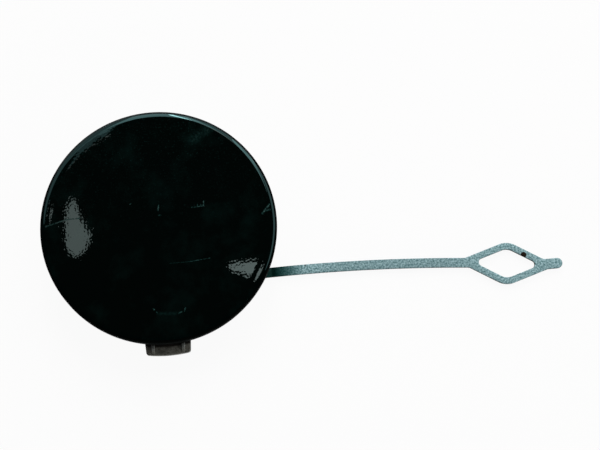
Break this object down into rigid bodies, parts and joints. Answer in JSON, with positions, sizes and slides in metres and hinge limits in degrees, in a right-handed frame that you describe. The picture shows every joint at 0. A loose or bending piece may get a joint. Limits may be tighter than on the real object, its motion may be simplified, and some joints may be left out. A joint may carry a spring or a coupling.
{
  "type": "tow hook cover",
  "caption": "Round domed snap-in cap that covers the towing-eye hole of a bumper, with a retaining foot, a spring clip and a flat strap ending in a folding loop.",
  "frame": {"origin": "on the cap's axis in the seat plane, where the back edge of the rim lies on the bumper skin", "axes": "+Z out of the bumper along the cap's axis, -Y towards the retaining foot, +X the way the strap leaves"},
  "size_m": [0.1701, 0.079, 0.0168],
  "materials": {
    "painted_face": "glossy near-black green metallic paint",
    "strap_overspray": "dusted with pale teal metallic overspray",
    "bare_plastic": "unpainted moulded plastic"
  },
  "bodies": {
    "root": {"tow_hook_cover": "painted_face"}
  },
  "joints": []
}
